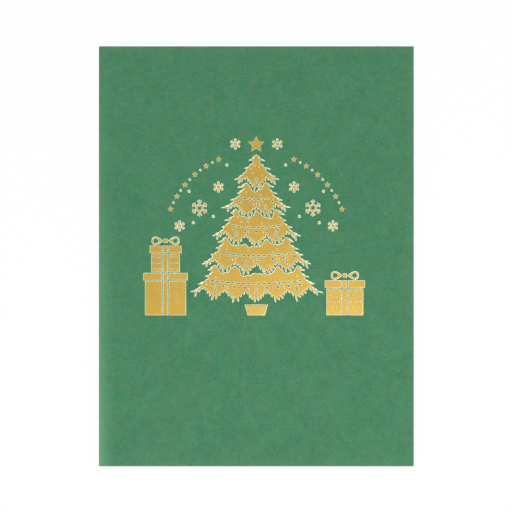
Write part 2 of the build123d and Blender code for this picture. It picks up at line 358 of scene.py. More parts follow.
    def fade(self, tree: Tree, distance: Socket, reach: float, share: float | Socket) -> Socket:
        """Share of edge wear and of the fold's painted highlight, fading with the distance from an
        edge.

        Args:
            tree: Node tree of the material.
            distance: Distance from the edge in metres.
            reach: Distance in millimetres at which the wear ends.
            share: Share at the edge itself: wear along the edges, painted highlight at the fold.

        Returns:
            Share of wear along the edges, and of painted highlight at the fold.
        """
        ends = {"From Min": reach * MM, "From Max": 0.0}
        left = add_node(tree, "MapRange", {"Value": distance, **ends})
        values = {0: left.outputs[0], 1: self.wear_and_highlight_power}
        steep = add_node(tree, "Math", values, operation="POWER")
        values = {0: steep.outputs[0], 1: share}
        return add_node(tree, "Math", values, operation="MULTIPLY").outputs[0]


@dataclass(frozen=True, kw_only=True)
class StampedFoil(Finish):
    """Hot stamped metallic foil, pressed into card by a heated die.

    The eye sees a warm satin metal that keeps the tooth of the card under it.
    """

    colour: str
    worn_colour: str
    spread: float = 0.1
    metallic: float = 1.0
    # The card's tooth is about 0.1 mm, so it is drawn coarser here too.
    tooth: Mottle = Mottle(0.5, 1.0, detail=3.0)
    tooth_strength: float = 0.8
    tooth_ends: tuple[float, float] = (0.3, 0.7)
    # The die presses a little harder in some patches of about a centimetre than in others.
    cloud: Mottle = Mottle(9.0, 0.7, roughness=0.5)
    tone_ends: tuple[float, float] = (0.55, 1.15)

    def surface(self, tree: Tree, place: Socket) -> tuple[Socket, dict[str, object]]:
        """Satin metal that is duller and rougher in some places than in others.

        Args:
            tree: Node tree of the material.
            place: Object coordinates.

        Returns:
            Height of the tooth, and the values of the shader.
        """
        tooth = self.tooth.laid(tree, place)
        tone = self.cloud.laid(tree, place, tooth)
        ends = {"From Min": self.tone_ends[0], "From Max": self.tone_ends[1]}
        level = add_node(tree, "MapRange", {"Value": tone, **ends})
        colours = {MIX_A: linear(self.worn_colour), MIX_B: linear(self.colour)}
        colour = add_node(tree, "Mix", {"Factor": level.outputs[0], **colours}, data_type="RGBA")
        ends = {"From Min": self.tooth_ends[0], "From Max": self.tooth_ends[1]}
        ends |= {"To Min": self.roughness - self.spread, "To Max": self.roughness + self.spread}
        gloss = add_node(tree, "MapRange", {"Value": tooth, **ends})
        values = {"Metallic": self.metallic, "Roughness": gloss.outputs[0]}
        return tooth, {"Base Color": colour.outputs[MIX_RESULT], **values}


def activate(*pieces: Piece) -> None:
    """Select these objects alone and make the first one active.

    Args:
        pieces: Objects to select.
    """
    bpy.ops.object.select_all(action="DESELECT")
    for piece in pieces:
        piece.select_set(True)
    bpy.context.view_layer.objects.active = pieces[0]


def across(line: Outline) -> Outline:
    """The points on the other side of the middle, in reverse order."""
    return [(-x, y) for x, y in reversed(line)]


@dataclass(frozen=True)
class FlatShape:
    """Flat outline with holes left bare in it, in millimetres on the face of the card."""

    outline: Outline
    holes: tuple[Outline, ...] = ()

    def draw(self, curve: bpy.types.Curve, hole_radius: float) -> None:
        """Add the outline and the holes to a curve as closed lines.

        Args:
            curve: Curve that gets the lines.
            hole_radius: Thickness of a hole's line, where the outline's is one.
        """
        for corners in (self.outline, *self.holes):
            spline = curve.splines.new("POLY")
            spline.points.add(len(corners) - 1)
            for point, (x, y) in zip(spline.points, corners):
                point.co = (x * MM, y * MM, 0, 1)
                point.radius = 1.0 if corners is self.outline else hole_radius
            spline.use_cyclic_u = True

    def mirrored(self) -> "FlatShape":
        """The same shape on the other side of the middle."""
        return FlatShape(across(self.outline), tuple(across(hole) for hole in self.holes))


@dataclass
class FoilDie:
    """Stamps flat shapes as foil: a thin plate with a fine raised rim along every edge, whose pale
    finish is a painted highlight.
    """

    face: Material
    # Pale finish of the rims, a painted highlight that stands in for the light their edge catches.
    rim: Material
    face_z: float
    plate_mm: float = 0.025
    rim_width_mm: float = 0.205
    rim_rise_mm: float = 0.045
    rim_facets: int = 1
    hole_rim_share: float = 0.62
    merge_mm: float = 0.001
    smooth_degrees: float = 50.0

    def stamp(self, shapes: list[FlatShape], name: str, rim_share: float) -> Piece:
        """Press flat shapes onto the front cover as one piece of foil.

        Args:
            shapes: Shapes that don't overlap.
            name: Name of the piece.
            rim_share: Width of the rims as a share of the die's usual one.

        Returns:
            The piece, with its plate in gold and its rims in the pale painted highlight.
        """
        piece, rim = self.plate_of(shapes), self.rim_of(shapes, self.rim_width_mm * rim_share)
        dress(piece, self.face)
        # The rims are dressed in the pale painted highlight.
        dress(rim, self.rim)
        activate(piece, rim)
        bpy.ops.object.join()
        piece.name = piece.data.name = name
        piece.location.z = self.face_z
        bpy.ops.object.transform_apply(location=True, rotation=False, scale=False)
        bpy.ops.object.shade_smooth_by_angle(angle=radians(self.smooth_degrees))
        return piece

    def lines(self, shapes: list[FlatShape]) -> Piece:
        """Draw the edges of all shapes in one curve.

        Args:
            shapes: Shapes to draw.

        Returns:
            The curve's object, selected and active.
        """
        curve = bpy.data.curves.new("foil_lines", "CURVE")
        for shape in shapes:
            shape.draw(curve, self.hole_rim_share)
        drawing = bpy.data.objects.new("foil_lines", curve)
        bpy.context.collection.objects.link(drawing)
        activate(drawing)
        return drawing

    def plate_of(self, shapes: list[FlatShape]) -> Piece:
        """Fill the shapes and give them the thickness of the foil.

        Args:
            shapes: Shapes that don't overlap.

        Returns:
            Closed plate that stands on the plane z = 0.
        """
        drawing = self.lines(shapes)
        drawing.data.dimensions = "2D"
        drawing.data.fill_mode = "FRONT"
        bpy.ops.object.convert(target="MESH")
        bpy.ops.object.mode_set(mode="EDIT")
        bpy.ops.mesh.select_all(action="SELECT")
        bpy.ops.mesh.remove_doubles(threshold=self.merge_mm * MM)
        thickness = (0, 0, self.plate_mm * MM)
        bpy.ops.mesh.extrude_region_move(TRANSFORM_OT_translate={"value": thickness})
        bpy.ops.mesh.select_all(action="SELECT")
        bpy.ops.mesh.normals_make_consistent(inside=False)
        bpy.ops.object.mode_set(mode="OBJECT")
        return bpy.context.view_layer.objects.active

    def rim_of(self, shapes: list[FlatShape], width_mm: float) -> Piece:
        """Run a fine bead along every edge, centred on the top of the plate.

        Args:
            shapes: Shapes whose edges get the bead.
            width_mm: Width of the bead along an outline.

        Returns:
            The beads as one mesh.
        """
        drawing = self.lines(shapes)
        drawing.data.dimensions = "3D"
        drawing.data.bevel_depth = width_mm * MM / 2
        drawing.data.bevel_resolution = self.rim_facets
        bpy.ops.object.convert(target="MESH")
        rim = bpy.context.view_layer.objects.active
        rim.scale.z = 2 * self.rim_rise_mm / width_mm
        rim.location.z = self.plate_mm * MM
        bpy.ops.object.transform_apply(location=True, rotation=False, scale=True)
        return rim


def ring(centre: Point, radii: list[float], start: float = 90.0) -> Outline:
    """Closed run of points at even angles about a centre.

    Args:
        centre: Middle of the ring in millimetres.
        radii: Radius of each point in turn.
        start: Angle of the first point in degrees.

    Returns:
        The points, anticlockwise.
    """
    turns = [radians(start + 360 * index / len(radii)) for index in range(len(radii))]
    return [
        (centre[0] + radius * cos(turn), centre[1] + radius * sin(turn))
        for radius, turn in zip(radii, turns)
    ]


def disc(centre: Point, radius: float, corners: int = 12) -> Outline:
    """Round outline about a centre."""
    return ring(centre, [radius] * corners)


def star(centre: Point, radius: float, waist: float) -> Outline:
    """Outline of an upright star about a centre."""
    return ring(centre, [radius, waist] * STAR_POINTS)


def rectangle(left: float, low: float, right: float, high: float) -> Outline:
    """Corners of an upright rectangle."""
    return [(left, low), (right, low), (right, high), (left, high)]


def stepped(outline: Outline, step: float) -> Outline:
    """Points along a closed outline no farther apart than a step.

    Args:
        outline: Corners in millimetres.
        step: Longest distance between two points.

    Returns:
        The corners with points between them.
    """
    points = []
    for (x0, y0), (x1, y1) in zip(outline, outline[1:] + outline[:1]):
        count = max(1, ceil(hypot(x1 - x0, y1 - y0) / step))
        points += [
            (x0 + (x1 - x0) * index / count, y0 + (y1 - y0) * index / count)
            for index in range(count)
        ]
    return points


def inside(point: Point, outline: Outline) -> bool:
    """Tell whether a point lies inside a closed outline.

    Args:
        point: Point to test.
        outline: Corners of the outline.

    Returns:
        True inside the outline.
    """
    x, y = point
    within = False
    for (x0, y0), (x1, y1) in zip(outline, outline[1:] + outline[:1]):
        if (y0 > y) != (y1 > y) and x < x0 + (y - y0) / (y1 - y0) * (x1 - x0):
            within = not within
    return within


def unit(x: float, y: float) -> Point:
    """Direction of a vector as a vector of length one."""
    length = hypot(x, y)
    return x / length, y / length


@dataclass
class FoilPiece(ABC):
    """One stamped part of the design, which takes the place of a node."""

    name: str
    node: str
    rim_share: float = 1.0
    left: float = field(init=False)
    base: float = field(init=False)
    right: float = field(init=False)
    top: float = field(init=False)

    def __post_init__(self) -> None:
        """Read the sides of the node's box in millimetres."""
        low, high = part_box(self.node)
        self.left, self.base = low[0] / MM, low[1] / MM
        self.right, self.top = high[0] / MM, high[1] / MM

    @abstractmethod
    def shapes(self) -> list[FlatShape]:
        """Flat shapes of the piece."""

    def build(self, die: FoilDie) -> Piece:
        """Stamp the piece in place of its node.

        Args:
            die: Die that presses the flat shapes.

        Returns:
            The piece, which rides on the card.
        """
        piece = die.stamp(self.shapes(), self.name, self.rim_share)
        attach(piece, "root")
        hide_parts(self.node)
        return piece


@dataclass(frozen=True)
class Needle:
    """Sizes of one fir needle, drawn as a blunt bowed stroke, and of a row of them."""

    length: float = 3.0
    pitch: float = 1.7
    root_width: float = 1.0
    middle_width: float = 0.82
    middle_place: float = 0.6
    tip_width: float = 0.40
    bow: float = 0.14
    shortest: float = 0.5
    valley_share: float = 0.42
    spread: float = 0.5
    sway: float = 0.22
    stagger: float = 0.08

    def outline(self, root: Point, along: Point, flow: Point, reach: float) -> Outline:
        """Corners of one needle that stands on an edge.

        Args:
            root: Middle of the needle's root.
            along: Unit direction of the edge.
            flow: Unit direction in which the needle points.
            reach: Length of the needle.

        Returns:
            Corners from the root's near side round the tip to its far side.
        """
        corners = []
        places = (0, self.middle_place, 1)
        widths = (self.root_width, self.middle_width, self.tip_width)
        for side in Side:
            line = []
            for share, width in zip(places, widths):
                aside = side.value * width / 2 + self.bow * reach * share**2
                x = root[0] + flow[0] * reach * share + along[0] * aside
                y = root[1] + flow[1] * reach * share + along[1] * aside
                line.append((x, y))
            corners += line if side is Side.LEFT else reversed(line)
        return corners

    def row(
        self, start: Point, end: Point, axis: Point, chance: Random, to_tip: bool = True
    ) -> Outline:
        """Needles along one side of a lobe, which spread and grow longest at its tip.

        Args:
            start: Start of the side.
            end: End of the side.
            axis: Unit direction in which the lobe points.
            chance: Source of small differences.
            to_tip: True where the side runs from the valley to the tip.

        Returns:
            Corners of the needles in order.
        """
        run_x, run_y = end[0] - start[0], end[1] - start[1]
        along = unit(run_x, run_y)
        away = along[1], -along[0]
        count = max(1, round(hypot(run_x, run_y) / self.pitch))
        corners = []
        for index in range(count):
            share = (index + 0.5 + chance.uniform(-self.stagger, self.stagger)) / count
            tipward = share if to_tip else 1 - share
            root = start[0] + run_x * share, start[1] + run_y * share
            spread = (self.spread + chance.uniform(-self.sway, self.sway)) * tipward
            flow = unit(axis[0] + spread * away[0], axis[1] + spread * away[1])
            grown = self.valley_share + (1 - self.valley_share) * tipward
            reach = self.length * grown * chance.uniform(self.shortest, 1.0)
            corners += self.outline(root, along, flow, reach)
        return corners


@dataclass(frozen=True)
class Twig:
    """Sizes of a small barbed twig left bare in the foil."""

    length: float = 3.2
    shortest: float = 0.8
    longest: float = 1.15
    width: float = 0.34
    foot_share: float = 0.6
    tip_share: float = 0.5
    rise: float = 1.7
    lean: float = 0.22
    sway: float = 0.12
    barbs: tuple[float, ...] = (0.22, 0.48, 0.74)
    barb_reach: float = 0.95
    barb_taper: float = 0.4
    barb_drop: float = 0.14
    barb_lift: float = 0.04
    barb_back: float = 0.12

    def outline(self, lobe_tip: Point, aside: float, chance: Random) -> Outline:
        """Outline of one twig over the tip of a lobe.

        Args:
            lobe_tip: Tip of the lobe.
            aside: Place of the lobe across the skirt, from -1 to 1.
            chance: Source of small differences.

        Returns:
            Corners from the foot up the right side and down the left one.
        """
        x, y = lobe_tip
        lean = self.lean * aside + chance.uniform(-self.sway, self.sway)
        length = self.length * chance.uniform(self.shortest, self.longest)
        half = self.width / 2
        right = [(half * self.foot_share, 0.0)]
        for place in self.barbs:
            reach = self.barb_reach - self.barb_taper * place
            right += [
                (half, place * length),
                (reach, (place - self.barb_drop) * length),
                (reach, (place - self.barb_lift) * length),
                (half, (place + self.barb_back) * length),
            ]
        right.append((half * self.tip_share, length))
        return [(x + a - lean * b, y + self.rise + b) for a, b in right + across(right)]


@dataclass(frozen=True)
class NeedleMark:
    """Sizes of a short needle mark left bare in the foil, and of a fan of them."""

    length: float = 1.5
    shortest: float = 0.75
    longest: float = 1.1
    width: float = 0.30
    end_share: float = 0.5
    places: tuple[Point, ...] = ((-1.25, 1.1), (0, 1.7), (1.25, 1.1))
    lean: float = 0.35
    fan: float = 0.12
    sway: float = 0.25

    def outline(self, centre: Point, lean: float, chance: Random) -> Outline:
        """Outline of one mark.

        Args:
            centre: Middle of the mark.
            lean: Slope of the mark off the upright.
            chance: Source of small differences.

        Returns:
            Corners, anticlockwise from the foot.
        """
        long = self.length / 2 * chance.uniform(self.shortest, self.longest)
        half = self.width / 2
        end = half * self.end_share
        corners = [(-end, -long), (end, -long), (half, 0), (end, long), (-end, long), (-half, 0)]
        return [(centre[0] + a - lean * b, centre[1] + b) for a, b in corners]

    def fanned(self, notch: Point, aside: float, chance: Random) -> list[Outline]:
        """Marks that fan out over a notch.

        Args:
            notch: Notch between two lobes.
            aside: Place of the notch across the skirt, from -1 to 1.
            chance: Source of small differences.

        Returns:
            Outline of each mark.
        """
        marks = []
        for shift, rise in self.places:
            x = notch[0] + shift + chance.uniform(-self.sway, self.sway)
            lean = self.lean * aside + self.fan * shift
            marks.append(self.outline((x, notch[1] + rise), lean, chance))
        return marks


@dataclass
class Skirt:
    """One needled tier of the fir, with what is left bare in it."""

    # Place and size in the tree, set by the tree itself
    number: int
    lobes: int
    half: float
    foot: float
    pitch: float
    gap: float
    chance: Random
    above: "Skirt | None"
    lower: Outline = field(init=False)

    # Lobes along the lower edge
    top_height: float = 11.5
    sag: float = 3.0
    lobe_depth: float = 3.6
    fringe_depth: float = 2.3
    needle: Needle = Needle()
    needle_lean: float = 0.6

    # Upper edge, which keeps clear of the needles over it
    edge_step: float = 0.9
    edge_room: float = 0.45
    shadow_depth: float = 2.6
    shadow_half: float = 3.4

    # Sides, and the twig ends along them
    side_curve: float = 1.6
    side_twig_pitch: float = 4.4
    side_twig_place: float = 0.62
    side_twig_reach: float = 1.7
    side_twig_shortest: float = 0.7
    side_twig_longest: float = 1.2
    side_twig_flow: Point = (-0.93, -0.37)
    topmost_twig_share: float = 0.6

    # What is left bare, each with its least distance from other edges
    probe_step: float = 0.4
    garland_width: float = 0.45
    garland_margin: float = 1.3
    garland_room: float = 0.3
    bead_pitch: float = 2.6
    bead_steps: int = 4
    bead_radius: float = 0.5
    twig: Twig = Twig()
    twig_room: float = 0.35
    bauble_radius: float = 0.62
    bauble_pitch: float = 5.2
    bauble_drop: float = 1.9
    bauble_room: float = 0.45
    mark: NeedleMark = NeedleMark()
    mark_room: float = 0.4
    dots_to_try: int = 60
    dot_radius: float = 0.34
    dot_spread: float = 0.2
    dot_room: float = 1.0

    def __post_init__(self) -> None:
        """Draw the needled lower edge first, because the next skirt follows it."""
        self.lower = self.lower_edge()

    @property
    def garland_rise(self) -> float:
        """Height of the garland over the lobe tips, halfway up to the skirt above."""
        free = self.pitch - self.fringe_depth - self.gap - self.lobe_depth
        return self.lobe_depth + free / 2

    def edge_point(self, share: float, rise: float = 0.0) -> Point:
        """Point over the sagging line of the lobe tips, at a share of the way to the right."""
        aside = 2 * share - 1
        return self.half * aside, self.foot + self.fringe_depth + self.sag * aside**2 + rise

    def tip(self, index: int) -> Point:
        """Left tip of one lobe, or the last lobe's right tip."""
        return self.edge_point(index / self.lobes)

    def notch(self, index: int) -> Point:
        """Notch between one lobe tip and the next."""
        return self.edge_point((index + 0.5) / self.lobes, self.lobe_depth)

    def lower_edge(self) -> Outline:
        """Needled lower edge.

        Returns:
            Corners from the left lobe tip to the right one.
        """
        edge = []
        for index in range(self.lobes):
            tip, notch, next_tip = self.tip(index), self.notch(index), self.tip(index + 1)
            for start, end, to_tip in ((tip, notch, False), (notch, next_tip, True)):
                lean = self.needle_lean * (start[0] + end[0]) / 2 / self.half
                edge += self.needle.row(start, end, unit(lean, -1), self.chance, to_tip)
                edge.append(end)
        return edge

    def upper_edge(self) -> Outline:
        """Upper edge, which follows the needles of the skirt above.

        Returns:
            Points from left to right, lower in the shadow of some notches.
        """
        if self.above is None:
            return [(0, self.foot + self.fringe_depth + self.lobe_depth + self.top_height)]
        reach = -self.above.notch(0)[0]
        steps = ceil(2 * reach / self.edge_step)
        step = 2 * reach / steps
        over = stepped(self.above.lower, step / 2)[:-1]
        edge = []
        for index in range(steps + 1):
            x = index * step - reach
            low = min(y for a, y in over if abs(a - x) <= step)
            edge.append((x, low - self.edge_room - self.shadow(x)))
        return edge

    def shadow(self, x: float) -> float:
        """Depth of the shadow left bare under every other notch of the skirt above.

        Args:
            x: Place across the skirt.

        Returns:
            Depth in millimetres, which is zero away from the shadows.
        """
        depth = 0.0
        for index in range(1, self.above.lobes - 1):
            share = abs(x - self.above.notch(index)[0]) / self.shadow_half
            if (index + self.number) % 2 == 0 and share < 1:
                depth = max(depth, self.shadow_depth * (1 + cos(pi * share)) / 2)
        return depth

    def side_point(self, top: Point, share: float) -> Point:
        """Point on the curved left side, at a share of the way down from its top."""
        x, y = self.tip(0)
        return top[0] + (x - top[0]) * share**self.side_curve, top[1] + (y - top[1]) * share

    def side_fringe(self, top: Point) -> Outline:
        """Twig ends with needles down the left side.

        Args:
            top: Where the side starts.

        Returns:
            Corners from the top to the outer lobe tip.
        """
        tip = self.tip(0)
        length = hypot(tip[0] - top[0], tip[1] - top[1])
        count = max(2, round(length / self.side_twig_pitch))
        flow = unit(*self.side_twig_flow)
        corners = [top]
        for index in range(count - 1):
            grown = self.topmost_twig_share if self.above is None and index == 0 else 1.0
            grown *= self.chance.uniform(self.side_twig_shortest, self.side_twig_longest)
            reach = self.side_twig_reach * grown
            x, y = self.side_point(top, (index + self.side_twig_place) / count)
            twig_end = x + flow[0] * reach, y + flow[1] * reach
            corners += self.needle.row(corners[-1], twig_end, flow, self.chance)
            corners += [twig_end, self.side_point(top, (index + 1) / count)]
        end = self.side_point(top, 1)
        return [*corners, *self.needle.row(corners[-1], end, flow, self.chance), end]

    def outline(self) -> Outline:
        """Needled outline of the skirt.

        Returns:
            Corners from the upper left, anticlockwise.
        """
        upper = self.upper_edge()
        left = self.side_fringe(upper[0])
        right = across(self.side_fringe(across(upper)[0]))
        return left + self.lower + right[1:-1] + upper[:0:-1]

    def garland(self) -> Outline:
        """Thin beaded line left bare across a skirt that hangs under another.

        Returns:
            Outline of the line, which swells at every bead.
        """
        top, tip = self.above.notch(0), self.tip(0)
        share = (top[1] - tip[1] - self.garland_rise) / (top[1] - tip[1])
        reach = -self.side_point(top, share)[0] - self.garland_margin
        steps = 2 * ceil(reach / self.bead_pitch) * self.bead_steps
        line = []
        for index in range(steps + 1):
            place = 0.5 + (2 * index / steps - 1) * reach / self.half / 2
            x, y = self.edge_point(place, self.garland_rise)
            is_bead = index % self.bead_steps == self.bead_steps // 2
            line.append((x, y, self.bead_radius if is_bead else self.garland_width / 2))
        low = [(x, y - half) for x, y, half in line]
        high = [(x, y + half) for x, y, half in reversed(line)]
        return low + high

    def twigs(self) -> list[Outline]:
        """Candidate twigs inside every other lobe."""
        tips = [self.tip(index) for index in range(1 + self.number % 2, self.lobes, 2)]
        return [self.twig.outline(tip, tip[0] / self.half, self.chance) for tip in tips]

    def baubles(self) -> list[Outline]:
        """Candidate baubles under the garland.

        Returns:
            Outline of each bauble.
        """
        reach = int(self.half / self.bauble_pitch)
        shift = 0.5 * (self.number % 2)
        baubles = []
        for index in range(-reach, reach + 1):
            place = 0.5 + (index + shift) * self.bauble_pitch / self.half / 2
            centre = self.edge_point(place, self.garland_rise - self.bauble_drop)
            baubles.append(disc(centre, self.bauble_radius))
        return baubles

    def marks(self) -> list[Outline]:
        """Candidate needle marks over the inner notches.

        Returns:
            Outline of each mark.
        """
        marks = []
        for index in range(1, self.lobes - 1):
            notch = self.notch(index)
            marks += self.mark.fanned(notch, notch[0] / self.half, self.chance)
        return marks

    def dots(self, outline: Outline) -> list[Outline]:
        """Candidate small dots at random places.

        Args:
            outline: Outline whose box they lie in.

        Returns:
            Outline of each dot.
        """
        xs, ys = zip(*outline)
        dots = []
        for _ in range(self.dots_to_try):
            centre = self.chance.uniform(min(xs), max(xs)), self.chance.uniform(min(ys), max(ys))
            grown = self.chance.uniform(1 - self.dot_spread, 1 + self.dot_spread)
            dots.append(disc(centre, self.dot_radius * grown, SMALL_DISC_CORNERS))
        return dots

    def with_room(
        self, outline: Outline, holes: list[Outline], candidates: list[Outline], room: float
    ) -> list[Outline]:
        """Keep the candidates that stand clear of the edge and of every earlier hole.

        Args:
            outline: Outline of the skirt.
            holes: Holes that stay.
            candidates: Holes to add where there is room.
            room: Least distance between two edges.

        Returns:
            All holes.
        """
        kept = list(holes)
        taken = [point for line in (outline, *holes) for point in stepped(line, self.probe_step)]
        for hole in candidates:
            points = stepped(hole, self.probe_step)
            if not all(inside(point, outline) for point in points):
                continue
            if any(inside(points[0], line) for line in kept):
                continue
            if min(hypot(x - a, y - b) for x, y in points for a, b in taken) >= room:
                kept.append(hole)
                taken += points
        return kept

    def shape(self) -> FlatShape:
        """The skirt with everything that is left bare in it.

        Returns:
            Shape with its garland, twigs, baubles, marks and dots.
        """
        outline, holes = self.outline(), []
        for candidates, room in (
            ([self.garland()] if self.above else [], self.garland_room),
            (self.twigs(), self.twig_room),
            (self.baubles() if self.above else [], self.bauble_room),
            (self.marks(), self.mark_room),
            (self.dots(outline), self.dot_room),
        ):
            holes = self.with_room(outline, holes, candidates, room)
        return FlatShape(outline, tuple(holes))


@dataclass
class FirTree(FoilPiece):
    """Foil fir of needled skirts over a pot."""

    name: str = "tree_foil"
    node: str = "foil_tree"
    seed: int = 6
    gap: float = 0.5
    skirts: int = 5
    skirt_pitch: float = 13.4
    top_skirt_half: float = 9.0
    low_skirt_half: float = 29.5
    top_lobes: int = 2
    pot_height: float = 5.0
    pot_half: float = 5.5
    pot_foot_half: float = 4.0
    band_margin: float = 1.1
    band_top: float = 1.35
    band_foot: float = 1.7

    def pot(self) -> FlatShape:
        """Pot with a band left bare under its rim.

        Returns:
            Shape of the pot, which stands on the base.
        """
        top = self.base + self.pot_height
        foot, rim, band = self.pot_foot_half, self.pot_half, self.pot_half - self.band_margin
        outline = [(-foot, self.base), (foot, self.base), (rim, top), (-rim, top)]
        bare = rectangle(-band, top - self.band_foot, band, top - self.band_top)
        return FlatShape(outline, (bare,))

    def shapes(self) -> list[FlatShape]:
        """Skirts and pot.

        Returns:
            Skirts from the top down, and the pot.
        """
        shapes, skirt, chance = [], None, Random(self.seed)
        widening = (self.low_skirt_half - self.top_skirt_half) / (self.skirts - 1)
        for number in range(self.skirts):
            height = self.pot_height + self.gap + (self.skirts - 1 - number) * self.skirt_pitch
            skirt = Skirt(
                number=number,
                lobes=self.top_lobes + number,
                half=self.top_skirt_half + widening * number,
                foot=self.base + height,
                pitch=self.skirt_pitch,
                gap=self.gap,
                chance=chance,
                above=skirt,
            )
            shapes.append(skirt.shape())
        return [*shapes, self.pot()]


@dataclass
class TopStar(FoilPiece):
    """Foil star on the tree's top."""

    name: str = "star_foil"
    node: str = "foil_star"
    radius: float = 4.2
    waist: float = 1.8

    def shapes(self) -> list[FlatShape]:
        """One star, whose upper point is the top of the design."""
        return [FlatShape(star((0, self.top - self.radius), self.radius, self.waist))]


@dataclass
class StarStrings(FoilPiece):
    """Two arched strings of small foil stars and dots beside the tree."""

    name: str = "star_strings_foil"
    node: str = "foil_star_strings"
    radius: float = 44.0
    start: float = 22.0
    end: float = 66.0
    stars: int = 6
    star_radius: float = 1.5
    star_waist: float = 0.65
    dot_radius: float = 0.5

    def shapes(self) -> list[FlatShape]:
        """Stars and dots in turn along both arcs.

        Returns:
            Each star or dot on the right, followed by its mirror image.
        """
        steps = 2 * self.stars - 1
        middle = self.top - self.star_radius - self.radius * sin(radians(self.end))
        shapes = []
        for index in range(steps):
            turn = radians(self.start + (self.end - self.start) * index / (steps - 1))
            centre = self.radius * cos(turn), middle + self.radius * sin(turn)
            if index % 2:
                shape = FlatShape(disc(centre, self.dot_radius))
            else:
                shape = FlatShape(star(centre, self.star_radius, self.star_waist))
            shapes += [shape, shape.mirrored()]
        return shapes


@dataclass
class Snow(FoilPiece):
    """Foil snowflakes and snow dots round the tree, with rims a little wider than elsewhere."""

    name: str = "snow_foil"
    node: str = "foil_snowflakes"
    rim_share: float = 1.15
    arms: int = 6
    small_radius: float = 2.5
    small_waist: float = 0.75
    small_neck: float = 0.30
    bulb: float = 0.55
    bulb_start_share: float = 0.9
    bulb_flat_share: float = 0.3
    bulb_tip_share: float = 0.5
    large_radius: float = 3.9
    large_core: float = 1.9
    large_hole: float = 1.1
    large_stem: float = 0.26
    barb_reach: float = 1.1
    barb_tip_share: float = 0.72
    barb_root: float = 1.5
    barb_foot: float = 0.8
    barb_top: float = 0.3
    barb_fork: float = 0.75
    dot_radius: float = 0.6
    small_places: tuple[Point, ...] = ((10, 53.5), (18, 33), (36.5, 14.5))
    large_places: tuple[Point, ...] = ((27, 23),)
    dot_places: tuple[Point, ...] = ((14, 43.5), (20.5, 19), (30, 16), (32, 31))

    def turned(self, centre: Point, right: Outline) -> Outline:
        """Repeat one upright arm about a centre.

        Args:
            centre: Middle of the flake.
            right: Right side of the arm, which points up.

        Returns:
            Outline of the flake.
        """
        points = []
        for index in range(self.arms):
            turn = 2 * pi * index / self.arms
            for x, y in right + across(right):
                along = centre[0] + x * cos(turn) - y * sin(turn)
                points.append((along, centre[1] + x * sin(turn) + y * cos(turn)))
        return points

    def small_flake(self, centre: Point) -> FlatShape:
        """Flake with round ended arms.

        Args:
            centre: Middle of the flake.

        Returns:
            Shape of the flake.
        """
        middle = self.small_radius - self.bulb
        right = [
            (self.small_neck, self.small_waist),
            (self.small_neck, middle - self.bulb * self.bulb_start_share),
            (self.bulb, middle - self.bulb * self.bulb_flat_share),
            (self.bulb, middle + self.bulb * self.bulb_flat_share),
            (self.bulb * self.bulb_tip_share, self.small_radius),
        ]
        return FlatShape(self.turned(centre, right))

    def large_flake(self, centre: Point) -> FlatShape:
        """Flake with barbed arms about a ring.

        Args:
            centre: Middle of the flake.

        Returns:
            Shape of the flake, with the ring's hole.
        """
        stem, reach = self.large_stem, self.large_radius
        right = [
            (stem, self.large_core),
            (stem, reach - self.barb_root),
            (self.barb_reach, reach - self.barb_foot),
            (self.barb_reach * self.barb_tip_share, reach - self.barb_top),
            (stem, reach - self.barb_fork),
            (stem, reach),
        ]
        return FlatShape(self.turned(centre, right), (disc(centre, self.large_hole),))

    def shapes(self) -> list[FlatShape]:
        """Flakes and dots on both sides of the tree.

        Returns:
            All on the right, and then their mirror images.
        """
        shapes = [self.small_flake(place) for place in self.small_places]
        shapes += [self.large_flake(place) for place in self.large_places]
        shapes += [FlatShape(disc(place, self.dot_radius)) for place in self.dot_places]
        return shapes + [shape.mirrored() for shape in shapes]


